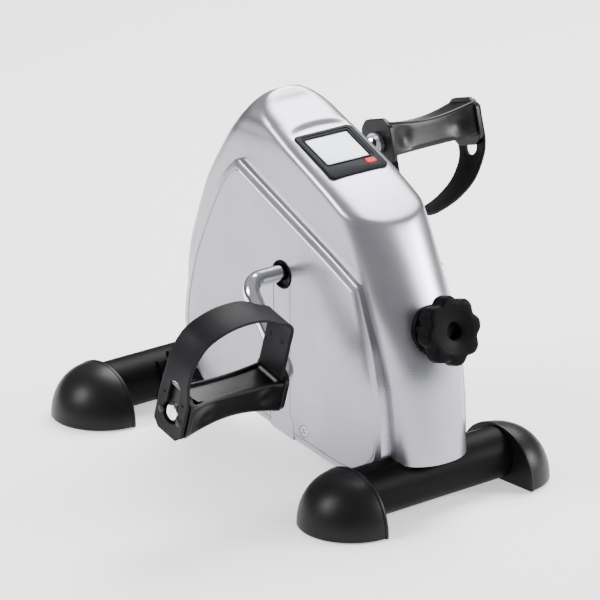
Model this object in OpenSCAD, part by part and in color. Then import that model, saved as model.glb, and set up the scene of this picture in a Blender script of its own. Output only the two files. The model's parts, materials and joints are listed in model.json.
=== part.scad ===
// Pedal exerciser: a floor-standing pair of pedals on a braked crank.
// X runs along the crank axle, -Y faces the user, +Z is up.
// The origin is on the floor, midway between the two stabiliser tubes.

/* [Stance] */
// Distance between the centre lines of the two stabiliser tubes
tube_span = 312; // [290:1:340]
// Outside diameter of a stabiliser tube
tube_d = 42; // [38:1:46]
// Wall of a stabiliser tube
tube_wall = 1.5; // [1.2:0.1:3]
// Overall width over the foot caps
stance_w = 236; // [220:2:280]
// Depth of a foot cap along its tube, rim to tip
foot_depth = 43; // [36:1:52]
// Height of a foot cap above its sole
foot_h = 44; // [43:1:52]
// Gap between a foot cap's sole and the floor
pad_h = 1; // [1:0.5:3]
// How far a tube reaches into its foot cap
tube_grip = 5; // [2:1:7]
// Length of the foot cap's plug inside the tube
plug_len = 25; // [15:1:35]

/* [Frame] */
// Width of the frame beam
beam_w = 40; // [34:1:46]
// Height of the frame beam
beam_h = 14; // [12:1:18]
// Wall of the frame beam
beam_wall = 2; // [1.5:0.5:3]
// Thickness of a bearing plate
plate_t = 3; // [2:0.5:4]
// Width of a tube saddle
saddle_w = 60; // [50:1:66]
// Thickness of a tube saddle
saddle_t = 3; // [2:0.5:4]

/* [Crank] */
// Height of the crank axle above the floor
axle_z = 167; // [155:1:180]
// Distance of the crank axle in front of the middle
axle_y = 37.5; // [30:0.5:45]
// Diameter of the bent crank rod
rod_d = 13.5; // [11:0.5:14]
// Crank length, axle to pedal spindle
crank_len = 83; // [70:1:90]
// Plane of a crank arm, measured from the middle
arm_x = 82; // [74:1:84]
// Bend radius between axle and arm
axle_bend = 14; // [11:1:24]
// Bend radius between arm and spindle
spindle_bend = 12; // [10:1:20]
// How far the right arm leans back from upright
crank_lean = 39.5; // [0:0.5:90]
// Overall width over the pedal spindles
reach_w = 402; // [380:2:420]

/* [Brake] */
// Diameter of the brake drum
drum_d = 90; // [76:1:92]
// Width of the brake drum
drum_w = 24; // [18:1:26]
// Thickness of the brake band
band_t = 2; // [1.5:0.5:3]
// Diameter of the tension screw
screw_d = 8; // [6:1:8]
// Pitch of the tension screw
screw_pitch = 1.25; // [1:0.25:1.5]
// Turns of the tension knob from slack to tight
knob_turns = 5.5; // [3:0.5:6]
// Diameter of the tension knob over its lobes
knob_d = 55; // [46:1:60]
// Depth of the hollows between the knob's lobes
lobe_depth = 3.5; // [2:0.5:5]
// Thickness of the tension knob's lobed disc
knob_t = 14; // [10:1:16]

/* [Covers] */
// Wall of the moulded covers
cover_t = 2.5; // [2:0.5:3.5]
// Width over the two side covers
body_w = 92; // [88:1:96]
// Width of the slide-in strip below the axle
strip_w = 20; // [16:1:24]
// Diameter of the hole where the crank leaves a side cover
exit_d = 22; // [18:1:26]

/* [Console] */
// Width of the console
console_w = 58; // [50:1:60]
// Length of the console up its slope
console_l = 53; // [46:1:56]
// Height of the console's rim above the cover
console_rise = 4.5; // [3:0.5:6]
// Tilt of the console from level
console_tilt = 24.6; // [20:0.2:30]
// Travel of the reset button
button_travel = 1; // [0.6:0.1:1.5]

/* [Pedals] */
// Height of a pedal's end plates
plate_h = 41; // [36:1:50]
// Width of a pedal's end plates
plate_w = 36; // [34:1:44]
// Thickness of a pedal's end plates
end_t = 4; // [3:0.5:5]
// Width of a pedal strap
strap_w = 29; // [26:1:34]
// Thickness of a pedal strap
strap_t = 2.5; // [2:0.5:3]
// Height of the left strap's loop above the spindle
left_strap_h = 78.5; // [62:0.5:82]
// Height of the right strap's loop, hooked one hole tighter
right_strap_h = 66; // [58:1:82]
// Forward lean of the left pedal, strap up
left_lean = 17; // [-30:1:30]
// Forward lean of the right pedal, strap hanging
right_lean = 15; // [-30:1:30]

/* [Hidden] */

// Clearances: running fit of shafts, gap between bodies, and gap between fixed mouldings
run_gap = 0.05;
body_gap = 0.5;
fit_gap = 0.2;
$fn = 48;

// Stance
tube_r = tube_d / 2;
tube_y = tube_span / 2;
tube_z = pad_h + tube_d / 2 + 0.5;
cap_rim_x = stance_w / 2 - foot_depth;
cap_r = foot_depth - 1;
dome_square = 2.15;
tube_half = cap_rim_x + tube_grip;
pad_x = cap_rim_x + 0.55 * foot_depth;
pad_r = 9;

// Frame
beam_top = 46;
beam_bottom = beam_top - beam_h;
plate_x = beam_w / 2;
axle = [0, -axle_y, axle_z];
// The holes in the covers sit a little below the axle's line
exit_z = axle_z - 1.5;
bearing_r = rod_d / 2 + 3;
bearing_flange_r = bearing_r + 3;
bolt_x = saddle_w / 2 - 8;
bolt_r = 3;

// Tension screw line: the knob's face centre, and the way in from there
knob_face = [0, -189, 149.5];
knob_tip = 15;
drum_r = drum_d / 2;
band_r = drum_r + body_gap;
nut_len = 14;
nut_at = 92;
screw_end = 122;
bracket_at = 114;
collar_r = 19;
hub_r = 15;
// The screw line passes this far below the axle
screw_drop = norm(cross(
    [axle[1] - knob_face[1], axle[2] - knob_face[2], 0], [cos(knob_tip), -sin(knob_tip), 0]));
// Distance along the screw line to the point below the axle
screw_foot = (axle[1] - knob_face[1]) * cos(knob_tip) - (axle[2] - knob_face[2]) * sin(knob_tip);
nut_travel = knob_turns * screw_pitch;
// The nut slides just under the band
nut_half = screw_drop - band_r - band_t - body_gap;

// Pedals
spindle_x = arm_x + spindle_bend;
pedal_x0 = spindle_x + 5;
pedal_x1 = reach_w / 2 - 5;
nut_x0 = pedal_x1 + body_gap;
stub_r = 4;
spindle_r = rod_d / 2;
strap_seat = pedal_x1;
plate_top = 20;
// The strap's outer leg ends just above the foot of the plate
strap_end = plate_top - plate_h + 1.5;
peg_y = 11;
peg_z = -3;

// Main cover's rounding in plan, front and rear
nose_depth = 28;
tail_depth = 22;

// Console
console_at = [0, -55, 261.5];
recess_w = console_w + 4;
recess_l = console_l + 7;
case_in_w = console_w - 6;
case_in_l = console_l - 6;
case_deep = 9.5;
window_w = 42;
window_l = 30;
window_v = 5;
button_at = [16.5, -17.5];
button_size = [10, 6];

// Height, front, rear, half width and squareness of the main cover's level sections
LEVELS = [
    [20, -185, 94, 34, 2.6], [70, -180, 102, 34.5, 2.6], [111, -174, 104, 36, 2.5],
    [150, -161, 99, 38.8, 2.3], [188, -143.5, 86, 40, 2.4], [222, -124.5, 72, 40, 2.8],
    [245, -86, 58, 39.5, 4], [268, -40, 43, 37.5, 4], [283, -11, 31, 33.5, 3.4],
    [290, 0, 24, 27, 2.8], [295, 6, 19, 18, 2.4], [298, 10, 14, 7, 2]
];
// Outline of a side cover, clockwise from its peak, as [y, z]
OUTLINE = [
    [19, 247], [34, 234], [44, 220], [57, 195], [67, 174], [76, 152], [84, 120], [87, 94],
    [82, 74], [72, 60], [63, 48], [-4, 40], [-50, 31], [-105, 22],
    [-128, 22], [-155, 40], [-154, 70], [-151, 99], [-143, 132], [-126, 177.5], [-94, 194]
];
// The sensor lead's route, from the sensor to the console board
LEAD = [
    [16, -40, axle_z + 34], [16, -41, 206], [16, -43, 213], [15, -45, 220], [13, -48, 227],
    [10, -50, 233], [6, -51, 238], [3, -51, 242], [1, -51, 247], [1, -52, 254]
];
lead_r = 0.9;

function unit(v) = v / norm(v);
function side_normal(a, b) = let (d = unit(b - a)) [-d[1], d[0]];
// A clockwise outline moved inwards by t
function inset(p, t) = let (n = len(p)) [
    for (i = [0 : n - 1])
        let (n1 = side_normal(p[(i + n - 1) % n], p[i]), n2 = side_normal(p[i], p[(i + 1) % n]))
        let (m = unit(n1 + n2)) p[i] - m * t / (m * n1)
];
function power(a, e) = sign(a) * pow(abs(a), e);
// A level section: straight sides, a rounded front of the given squareness, a rounded rear
function section(front, rear, half, square) =
    let (nose = min(nose_depth, (rear - front) / 2), tail = min(tail_depth, (rear - front) / 2)) [
        for (i = [0 : 16]) let (a = 180 + i * 11.25)
            [half * power(cos(a), 2 / square), front + nose + nose * power(sin(a), 2 / square)],
        for (i = [0 : 12]) let (a = i * 15)
            [half * power(cos(a), 2 / 3), rear - tail + tail * power(sin(a), 2 / 3)]
    ];
// A smooth curve through four points in turn
function glide(p, i, s) = let (
        a = p[max(i - 1, 0)], b = p[i], c = p[i + 1], d = p[min(i + 2, len(p) - 1)])
    0.5 * (2 * b + (c - a) * s + (2 * a - 5 * b + 4 * c - d) * s * s
        + (3 * b - a - 3 * c + d) * s * s * s);
function smooth(p, steps) = [
    for (i = [0 : len(p) - 2]) for (k = [0 : steps - 1]) glide(p, i, k / steps), p[len(p) - 1]];
// The unit normal of a path at each of its points
function path_normal(p, i) = let (
        d = unit(p[min(i + 1, len(p) - 1)] - p[max(i - 1, 0)])) [-d[1], d[0]];
function ribbon(p, t) = concat(
    [for (i = [0 : len(p) - 1]) p[i] + path_normal(p, i) * t / 2],
    [for (i = [len(p) - 1 : -1 : 0]) p[i] - path_normal(p, i) * t / 2]);

module prism_x(pts, x0, x1) {
    translate([x0, 0, 0]) rotate([90, 0, 90]) linear_extrude(x1 - x0) polygon(pts);
}
module rod_x(x0, x1, r, y = 0, z = 0) {
    translate([x0, y, z]) rotate([0, 90, 0]) cylinder(h = x1 - x0, r = r);
}
// Puts its children on the screw line: local +Z runs inwards from the knob's face
module on_screw(s = 0) {
    translate(knob_face) rotate([-90 - knob_tip, 0, 0]) translate([0, 0, s]) children();
}
// Puts its children on the console's top face: local X across, Y up the slope, Z outwards
module on_console() {
    translate(console_at) rotate([console_tilt, 0, 0]) children();
}
module both_sides() {
    children();
    mirror([1, 0, 0]) children();
}

// ---- stance ----
module tube(y) {
    color("#202022") difference() {
        rod_x(-tube_half, tube_half, tube_r, y, tube_z);
        rod_x(-tube_half - 1, tube_half + 1, tube_r - tube_wall, y, tube_z);
        for (x = [-bolt_x, bolt_x])
            translate([x, y, tube_z]) rotate([sign(y) * 90, 0, 0]) cylinder(h = tube_d, r = bolt_r);
    }
}
// Quarter outline of a foot cap's dome, from the axis out to the sole's edge
function dome(r, h) = concat([[0, 0]], [
    for (i = [0 : 12]) let (a = i * 7.5) [r * power(cos(a), 2 / dome_square), h * power(sin(a), 2 / dome_square)]]);
module foot(sx, sy) {
    color("#1c1c1e") translate([sx * cap_rim_x, sy * tube_y, pad_h]) mirror([sx < 0 ? 1 : 0, 0, 0])
    difference() {
        union() {
            intersection() {
                translate([1, 0, 0]) rotate_extrude() polygon(dome(cap_r, foot_h));
                translate([0, -cap_r - 5, -1]) cube([foot_depth + 5, 2 * cap_r + 10, foot_h + 5]);
            }
            intersection() {
                translate([-1, 0, 0]) rotate([90, 0, 90]) linear_extrude(3)
                    polygon([for (i = [0 : 24]) let (a = i * 7.5)
                        [(cap_r + 0.6) * power(cos(a), 2 / dome_square),
                         (foot_h + 0.5) * power(sin(a), 2 / dome_square)]]);
                translate([-2, -cap_r - 5, 0]) cube([6, 2 * cap_r + 10, foot_h + 5]);
            }
            rod_x(-plug_len, tube_grip, tube_r - tube_wall, 0, tube_z - pad_h);
        }
        difference() {
            rod_x(-3, tube_grip, tube_r, 0, tube_z - pad_h);
            rod_x(-4, tube_grip + 1, tube_r - tube_wall, 0, tube_z - pad_h);
        }
    }
}
module foot_pads() {
    color("#303033") for (sx = [-1, 1], sy = [-1, 1])
        translate([sx * pad_x, sy * tube_y, 0]) cylinder(h = pad_h, r = pad_r);
}
module saddle(sy) {
    color("#28282a") translate([0, sy * tube_y, tube_z]) mirror([0, sy < 0 ? 0 : 1, 0])
    difference() {
        intersection() {
            rod_x(-saddle_w / 2, saddle_w / 2, tube_r + saddle_t);
            translate([-saddle_w, tube_r / 2, -tube_r * 0.8]) cube([2 * saddle_w, tube_d, tube_r * 1.6]);
        }
        rod_x(-saddle_w, saddle_w, tube_r);
        for (x = [-bolt_x, bolt_x])
            translate([x, 0, 0]) rotate([-90, 0, 0]) cylinder(h = tube_d, r = bolt_r);
    }
}
module tube_bolts() {
    color("#8a8a8e") for (sy = [-1, 1], x = [-bolt_x, bolt_x])
        translate([x, sy * (tube_y - tube_r - saddle_t), tube_z]) rotate([sy * 90, 0, 0]) {
            cylinder(h = 4, r = 5.5, $fn = 6);
            translate([0, 0, -14]) cylinder(h = 14, r = bolt_r);
        }
}
module frame_beam() {
    color("#28282a") difference() {
        translate([-beam_w / 2, -tube_y, beam_bottom]) cube([beam_w, tube_span, beam_h]);
        translate([-beam_w / 2 + beam_wall, -tube_span, beam_bottom + beam_wall])
            cube([beam_w - 2 * beam_wall, 2 * tube_span, beam_h - 2 * beam_wall]);
        for (sy = [-1, 1]) {
            rod_x(-beam_w, beam_w, tube_r + saddle_t, sy * tube_y, tube_z);
            translate([-beam_w, sy * tube_y - beam_h, beam_bottom - 1]) cube([2 * beam_w, 2 * beam_h, beam_h + 2]);
        }
        for (y = SCREW_YZ) rod_x(-beam_w, beam_w, 2, y[0], y[1]);
    }
}

// ---- bearings and brake ----
anchor = [-axle_y - 47, axle_z + 11];
PLATE = [
    [-78, beam_bottom], [-92, axle_z + 8], [-90, axle_z + 18], [-80, axle_z + 20],
    [-axle_y - 14, axle_z + 24], [-axle_y + 14, axle_z + 24], [-axle_y + 24, axle_z + 12],
    [-axle_y + 24, axle_z - 14], [16, beam_bottom]
];
SCREW_YZ = [[-64, 42], [-11, 49]];
module bearing_plate(sx) {
    color("#28282a") mirror([sx < 0 ? 1 : 0, 0, 0]) difference() {
        prism_x(PLATE, plate_x, plate_x + plate_t);
        rod_x(0, 2 * plate_x, bearing_r, -axle_y, axle_z);
        rod_x(0, 2 * plate_x, 3, anchor[0], anchor[1]);
        prism_x([[-66, 70], [-74, 140], [-60, 128], [-20, 128], [0, 70]], 0, 2 * plate_x);
        for (y = SCREW_YZ) rod_x(0, 2 * plate_x, 2, y[0], y[1]);
    }
}
module bearing(sx) {
    color("#d8d4c8") mirror([sx < 0 ? 1 : 0, 0, 0]) difference() {
        union() {
            rod_x(plate_x, plate_x + plate_t + 5, bearing_r, -axle_y, axle_z);
            rod_x(plate_x + plate_t, plate_x + plate_t + 2, bearing_flange_r, -axle_y, axle_z);
        }
        rod_x(0, 2 * plate_x, rod_d / 2 + run_gap, -axle_y, axle_z);
    }
}
module band_anchor() {
    color("#8a8a8e") rod_x(-plate_x - plate_t, plate_x + plate_t, 3, anchor[0], anchor[1]);
}
// The band lies along the screw side, round the back of the drum and up to the anchor pin
module brake_band() {
    band_w = drum_w - 4;
    turn = 148 + 90 + knob_tip;
    lead_in = screw_foot - nut_at + nut_travel + 4;
    tail = 14;
    function edge(r) = concat(
        [[r, -lead_in]], [for (i = [0 : 40]) r * [cos(i * turn / 40), sin(i * turn / 40)]],
        [r * [cos(turn), sin(turn)] + tail * [-sin(turn), cos(turn)]]);
    inner = edge(band_r);
    color("#5b4636") difference() {
        translate([-band_w / 2, -axle_y, axle_z]) rotate([90, 0, 90]) rotate([0, 0, -90 - knob_tip])
            linear_extrude(band_w)
                polygon(concat(edge(band_r + band_t), [for (i = [len(inner) - 1 : -1 : 0]) inner[i]]));
        rod_x(-drum_w, drum_w, 3, anchor[0], anchor[1]);
        on_screw(nut_at - nut_travel) translate([-3, -nut_half - band_t - 4, 0])
            cube([6, band_t + 5, nut_travel + 9]);
    }
}
module screw_bracket() {
    color("#28282a") difference() {
        on_screw(bracket_at) translate([-plate_x, 0.8 - nut_half, 0]) cube([2 * plate_x, 2 * nut_half + 2, 4]);
        on_screw(bracket_at - 1) cylinder(h = 8, r = screw_d / 2 + run_gap);
    }
}
module tension_nut() {
    color("#9a9aa0") difference() {
        union() {
            on_screw(nut_at) translate([-nut_half - 2, -nut_half, 0])
                cube([2 * nut_half + 4, 2 * nut_half, nut_len]);
            on_screw(nut_at + 4.5) rotate([90, 0, 0]) cylinder(h = nut_half + band_t + 4, r = 2.5);
        }
        on_screw(nut_at - 1) cylinder(h = nut_len + 2, r = screw_d / 2 + run_gap);
    }
}
module tension_screw() {
    color("#9a9aa0") on_screw(9) cylinder(h = screw_end - 9, r = screw_d / 2);
}
// The knob's outline swells and falls eight times round the rim
function lobed(r, depth) = [for (i = [0 : 95]) let (a = i * 3.75)
    (r - depth * pow((1 + cos(8 * a + 80)) / 2, 1.6)) * [cos(a), sin(a)]];
module tension_knob() {
    color("#1c1c1e") on_screw() difference() {
        union() {
            linear_extrude(knob_t) polygon(lobed(knob_d / 2, lobe_depth));
            translate([0, 0, knob_t - 1]) cylinder(h = 5, r = hub_r);
        }
        translate([0, 0, -1]) cylinder(h = 8, r = 7);
        translate([0, 0, 6]) cylinder(h = knob_t, r = screw_d / 2);
    }
}
module knob_collar() {
    color("#1c1c1e") difference() {
        on_screw(knob_t + 4 + body_gap) cylinder(h = 12, r = collar_r);
        on_screw() cylinder(h = 60, r = screw_d / 2 + 0.3);
        spine(0);
    }
}
module brake_drum() {
    color("#77777c") translate([0, -axle_y, axle_z]) rotate([0, 90, 0]) rotate_extrude($fn = 96)
        polygon([
            [spindle_r, -drum_w / 2], [spindle_r + 6, -drum_w / 2], [spindle_r + 6, -2], [drum_r - 5, -2],
            [drum_r - 5, -drum_w / 2], [drum_r, -drum_w / 2], [drum_r, drum_w / 2],
            [drum_r - 5, drum_w / 2], [drum_r - 5, 2], [spindle_r + 6, 2],
            [spindle_r + 6, drum_w / 2], [spindle_r, drum_w / 2]]);
}
module sensor_magnet() {
    color("#b8b8bc") rod_x(2, 6, 4, -axle_y + 20, axle_z - 20);
}
module reed_sensor() {
    color("#303033") translate([8, -axle_y - 7, axle_z + 24]) cube([plate_x - 8, 12, 10]);
}

// ---- crank ----
module bend(r) {
    rotate([90, 0, 0]) rotate_extrude(angle = 90) translate([r, 0]) circle(r = rod_d / 2);
}
// Half of the crank for the right side, with its arm pointing up
module crank_half() {
    rod_x(0, arm_x - axle_bend, rod_d / 2);
    translate([arm_x - axle_bend, 0, axle_bend]) rotate([0, 90, 0]) bend(axle_bend);
    translate([arm_x, 0, axle_bend]) cylinder(h = crank_len - axle_bend - spindle_bend, r = rod_d / 2);
    translate([spindle_x, 0, crank_len - spindle_bend]) rotate([0, -90, 0]) bend(spindle_bend);
    rod_x(spindle_x, nut_x0, rod_d / 2, 0, crank_len);
    rod_x(nut_x0, pedal_x1 + 3, stub_r, 0, crank_len);
}
module on_right_arm() {
    translate(axle) rotate([-crank_lean, 0, 0]) children();
}
module on_left_arm() {
    translate(axle) rotate([180 - crank_lean, 0, 0]) mirror([1, 0, 0]) children();
}
module crank_rod() {
    color("#d4d4d8") {
        on_right_arm() crank_half();
        on_left_arm() crank_half();
    }
}
module spindle_nut() {
    color("#e6e6e8") difference() {
        rod_x(nut_x0, reach_w / 2, 7.5, 0, crank_len);
        rod_x(0, pedal_x1 + 3, stub_r, 0, crank_len);
        translate([reach_w / 2 - 1, -0.8, crank_len - 6]) cube([3, 1.6, 12]);
    }
}
module washer() {
    color("#b8b8bc") difference() {
        rod_x(spindle_x + 0.5, pedal_x0 - 0.3, 9, 0, crank_len);
        rod_x(0, pedal_x1, rod_d / 2, 0, crank_len);
    }
}

// ---- pedals: local X outwards along the spindle, +Z towards the strap ----
module on_left_pedal() {
    translate([0, -axle_y - crank_len * sin(crank_lean), axle_z - crank_len * cos(crank_lean)])
        rotate([left_lean, 0, 0]) mirror([1, 0, 0]) children();
}
module on_right_pedal() {
    translate([0, -axle_y + crank_len * sin(crank_lean), axle_z + crank_len * cos(crank_lean)])
        rotate([180 - right_lean, 0, 0]) children();
}
module end_plate(x0) {
    c = 7;
    w = plate_w / 2;
    top = plate_top;
    bottom = top - plate_h;
    prism_x([
        [-w, bottom + c], [-w, top - c], [-w + c, top], [w - c, top], [w, top - c],
        [w, bottom + c], [w - c, bottom], [-w + c, bottom]], x0, x0 + end_t);
}
module pedal() {
    mid = (pedal_x0 + pedal_x1) / 2;
    len = pedal_x1 - pedal_x0;
    bow = 320;
    color("#1f1f21") difference() {
        union() {
            end_plate(pedal_x0);
            end_plate(pedal_x1 - end_t);
            difference() {
                translate([pedal_x0 + 1, -plate_w / 2 + 1, -17]) cube([len - 2, plate_w - 2, 29]);
                for (s = [-1, 1]) translate([mid, s * (bow + 12.5), -50]) cylinder(h = 100, r = bow, $fn = 160);
                translate([mid, 50, -bow - 11.5]) rotate([90, 0, 0]) cylinder(h = 100, r = bow, $fn = 160);
                for (s = [-1, 1]) translate([mid - 2 + s * len / 4 - len / 5, -9, 8.6]) cube([len / 2.5, 18, 20]);
            }
        }
        rod_x(0, reach_w, rod_d / 2 + run_gap);
    }
}
// A strap's curve as [inwards from the outer plate, share of the loop's height]
SNUG = [[2, 0.43], [14, 0.69], [31, 0.86], [52, 0.97], [66, 1], [79, 0.94]];
LOOSE = [[-2.4, 0.4], [-1, 0.62], [9, 0.84], [26, 0.96], [46, 1], [62, 0.98], [78, 0.89]];
// A strap's middle line: flat on the outer plate, over the foot, flat on the inner plate
function strap_path(shape, h) =
    let (out_x = strap_seat + strap_t / 2, in_x = pedal_x0 + end_t + strap_t / 2, top = h - strap_t / 2)
    concat(
        [[out_x, strap_end], [out_x, -1]],
        smooth(concat(
            [[out_x, plate_top + 1]], [for (q = shape) [out_x - q[0], q[1] * top]],
            [[in_x + 1.5, h - 17], [in_x, h * 0.55]]), 4),
        [[in_x, 13]]);
module strap(shape, h) {
    color("#3a393d") difference() {
        translate([0, strap_w / 2, 0]) rotate([90, 0, 0]) linear_extrude(strap_w)
            polygon(ribbon(strap_path(shape, h), strap_t));
        // Its lower corners, the window over the spindle's end, and the peg holes
        for (s = [-1, 1]) prism_x([
            [s * (strap_w / 2 + 1), strap_end - 1], [s * (strap_w / 2 - 7), strap_end - 1],
            [s * (strap_w / 2 + 1), strap_end + 7]], strap_seat - 1, reach_w);
        rod_x(strap_seat - 8, reach_w, 9);
        translate([strap_seat - 20, -7, 0]) cube([40, 14, 26]);
        rod_x(strap_seat - 20, reach_w, 7, 0, 26);
        for (y = [-peg_y, peg_y]) {
            rod_x(strap_seat - 1, reach_w, 1.6, y, peg_z);
            rod_x(strap_seat - 8, reach_w, 1.6, y, 14);
            rod_x(0, pedal_x0 + 20, 1.6, y * 0.6, 44);
        }
    }
}
module strap_pegs() {
    color("#1f1f21") for (y = [-peg_y, peg_y]) {
        rod_x(strap_seat, strap_seat + strap_t, 1.6, y, peg_z);
        rod_x(strap_seat + strap_t, strap_seat + strap_t + 1.5, 3.5, y, peg_z);
    }
}

// ---- covers ----
// The outside of the main cover, moved inwards by t
module spine(t) {
    hull() for (l = LEVELS)
        translate([0, 0, l[0] - t * max(0, l[0] - 240) / 59]) linear_extrude(0.01)
            polygon(section(l[1] + t, l[2] - t, l[3] - t, l[4]));
}
module main_cover() {
    color("#b4b4ba") difference() {
        union() {
            difference() {
                spine(0);
                spine(cover_t);
            }
            intersection() {
                spine(0);
                on_console() translate([-recess_w / 2 - 2, -recess_l / 2 - 2 + 1, -console_rise - cover_t])
                    cube([recess_w + 4, recess_l + 4, 40]);
            }
        }
        // Recess and hole for the console
        on_console() translate([-recess_w / 2, -recess_l / 2 + 1, -console_rise]) cube([recess_w, recess_l, 40]);
        on_console() translate([-case_in_w / 2 - fit_gap, -case_in_l / 2 - fit_gap, -30])
            cube([case_in_w + 2 * fit_gap, case_in_l + 2 * fit_gap, 40]);
        // Sides left open for the side covers
        both_sides() prism_x(inset(OUTLINE, -fit_gap), 28, 60);
        // Open underside, and room for the front tube
        prism_x([[-200, 0], [-200, 40], [-150, 40], [-130, 30], [98, 52], [200, 52], [200, 0]], -60, 60);
        rod_x(-60, 60, tube_r + body_gap, -tube_y, tube_z);
        on_screw() cylinder(h = 60, r = screw_d / 2 + 4);
    }
}
module side_cover(sx) {
    half = body_w / 2;
    color("#b0b0b6") mirror([sx < 0 ? 1 : 0, 0, 0]) difference() {
        union() {
            difference() {
                prism_x(OUTLINE, 32, half);
                prism_x(inset(OUTLINE, cover_t), 30, half - cover_t);
            }
            for (p = SCREW_YZ) rod_x(plate_x + plate_t, half - 1, 6, p[0], p[1]);
        }
        for (p = SCREW_YZ) {
            rod_x(0, half + 1, 2, p[0], p[1]);
            rod_x(half - 2, half + 1, 5, p[0], p[1]);
        }
        rod_x(0, half + 1, exit_d / 2, -axle_y, exit_z);
        prism_x(strip_outline(fit_gap), 0, half + 1);
        rod_x(-60, 60, tube_r + body_gap, -tube_y, tube_z);
    }
}
// The strip runs straight down from the axle hole and flares at its foot
function strip_outline(g) = let (w = strip_w / 2 + g) [
    [-axle_y - w, exit_z], [-axle_y + w, exit_z], [-axle_y + w, 56], [-axle_y + w + 4, 50],
    [-axle_y + w + 4, 35 - 20 * sign(g)], [-axle_y - w - 4, 29 - 20 * sign(g)],
    [-axle_y - w - 4, 46], [-axle_y - w, 52]];
module slot_strip(sx) {
    half = body_w / 2;
    color("#b4b4ba") mirror([sx < 0 ? 1 : 0, 0, 0]) difference() {
        union() {
            prism_x(strip_outline(0), half - cover_t, half);
            prism_x([
                [-axle_y - strip_w / 2 - 3, 60], [-axle_y - strip_w / 2 - 3, exit_z],
                [-axle_y + strip_w / 2 + 3, exit_z], [-axle_y + strip_w / 2 + 3, 60]],
                half - cover_t - 1.5, half - cover_t);
        }
        rod_x(0, half + 1, exit_d / 2 + fit_gap, -axle_y, exit_z);
    }
}
module exit_ring(sx) {
    half = body_w / 2;
    color("#1c1c1e") mirror([sx < 0 ? 1 : 0, 0, 0]) difference() {
        rod_x(half - cover_t - 2, half + 0.5, exit_d / 2, -axle_y, exit_z);
        rod_x(0, half + 5, exit_d / 2 - 1.2, -axle_y, exit_z);
    }
}
module cover_screws() {
    half = body_w / 2;
    color("#6a6a70") both_sides() for (p = SCREW_YZ) difference() {
        union() {
            rod_x(half - 2, half - 0.5, 4.6, p[0], p[1]);
            rod_x(plate_x - beam_wall, half - 1, 2, p[0], p[1]);
        }
        for (a = [45, 135]) translate([half - 1.2, p[0], p[1]]) rotate([a, 0, 0])
            translate([0, -2.8, -0.6]) cube([5, 5.6, 1.2]);
    }
}

// ---- console ----
module console_case() {
    color("#26272b") on_console() difference() {
        union() {
            translate([-console_w / 2, -console_l / 2, -console_rise]) cube([console_w, console_l, console_rise]);
            translate([-case_in_w / 2, -case_in_l / 2, -console_rise - case_deep])
                cube([case_in_w, case_in_l, case_deep]);
        }
        translate([-case_in_w / 2 + 2, -case_in_l / 2 + 2, -console_rise - case_deep - 1])
            cube([case_in_w - 4, case_in_l - 4, console_rise + case_deep - 1]);
        translate([-window_w / 2, window_v - window_l / 2, -3]) cube([window_w, window_l, 4]);
        button_hole(0.3);
    }
}
module button_hole(g) {
    translate([button_at[0] - button_size[0] / 2 - g, button_at[1] - button_size[1] / 2 - g, -10])
        cube([button_size[0] + 2 * g, button_size[1] + 2 * g, 20]);
}
module console_window() {
    color([0.8, 0.85, 0.9, 0.4]) on_console()
        translate([-window_w / 2, window_v - window_l / 2, -1.8]) cube([window_w, window_l, 1]);
}
module lcd_panel() {
    color("#b9bdc0") on_console()
        translate([-window_w / 2 - 1.5, window_v - window_l / 2 - 1, -4.2]) cube([window_w + 3, window_l + 2, 2.2]);
}
module console_board() {
    color("#2e6b3c") on_console()
        translate([-case_in_w / 2 + 2, -case_in_l / 2 + 2, -8]) cube([case_in_w - 4, case_in_l - 4, 1.6]);
}
module console_back() {
    color("#303033") on_console() difference() {
        translate([-case_in_w / 2 + 2, -case_in_l / 2 + 2, -console_rise - case_deep])
            cube([case_in_w - 4, case_in_l - 4, 1.5]);
        translate([1, -1.5, -20]) cylinder(h = 10, r = 2.5);
    }
}
module button_cell() {
    color("#c8c8cc") on_console() translate([-12, -8, -12.5]) cylinder(h = 4.5, r = 5.8);
}
module reset_button() {
    color("#e5303f") on_console() translate([button_at[0], button_at[1], -4.8]) {
        translate([-button_size[0] / 2, -button_size[1] / 2, 0]) cube([button_size[0], button_size[1], 5.6]);
        translate([-button_size[0] / 2 - 0.8, -button_size[1] / 2 - 0.8, 0])
            cube([button_size[0] + 1.6, button_size[1] + 1.6, 2.4]);
    }
}
// A tube of eight sides swept along the sensor lead's route
module sensor_wire() {
    sides = 8;
    n = len(LEAD);
    function along(i) = unit(LEAD[min(i + 1, n - 1)] - LEAD[max(i - 1, 0)]);
    function ring(i) = let (t = along(i), u = unit(cross(t, [1, 0.2, 0])), v = cross(t, u))
        [for (k = [0 : sides - 1]) LEAD[i] + lead_r * (cos(k * 45) * u + sin(k * 45) * v)];
    pts = [for (i = [0 : n - 1]) each ring(i)];
    color("#202022") polyhedron(pts, concat(
        [[for (k = [sides - 1 : -1 : 0]) k]],
        [for (i = [0 : n - 2]) for (k = [0 : sides - 1]) let (a = i * sides, b = (k + 1) % sides)
            [a + k, a + b, a + sides + b, a + sides + k]],
        [[for (k = [0 : sides - 1]) (n - 1) * sides + k]]));
}

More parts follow.
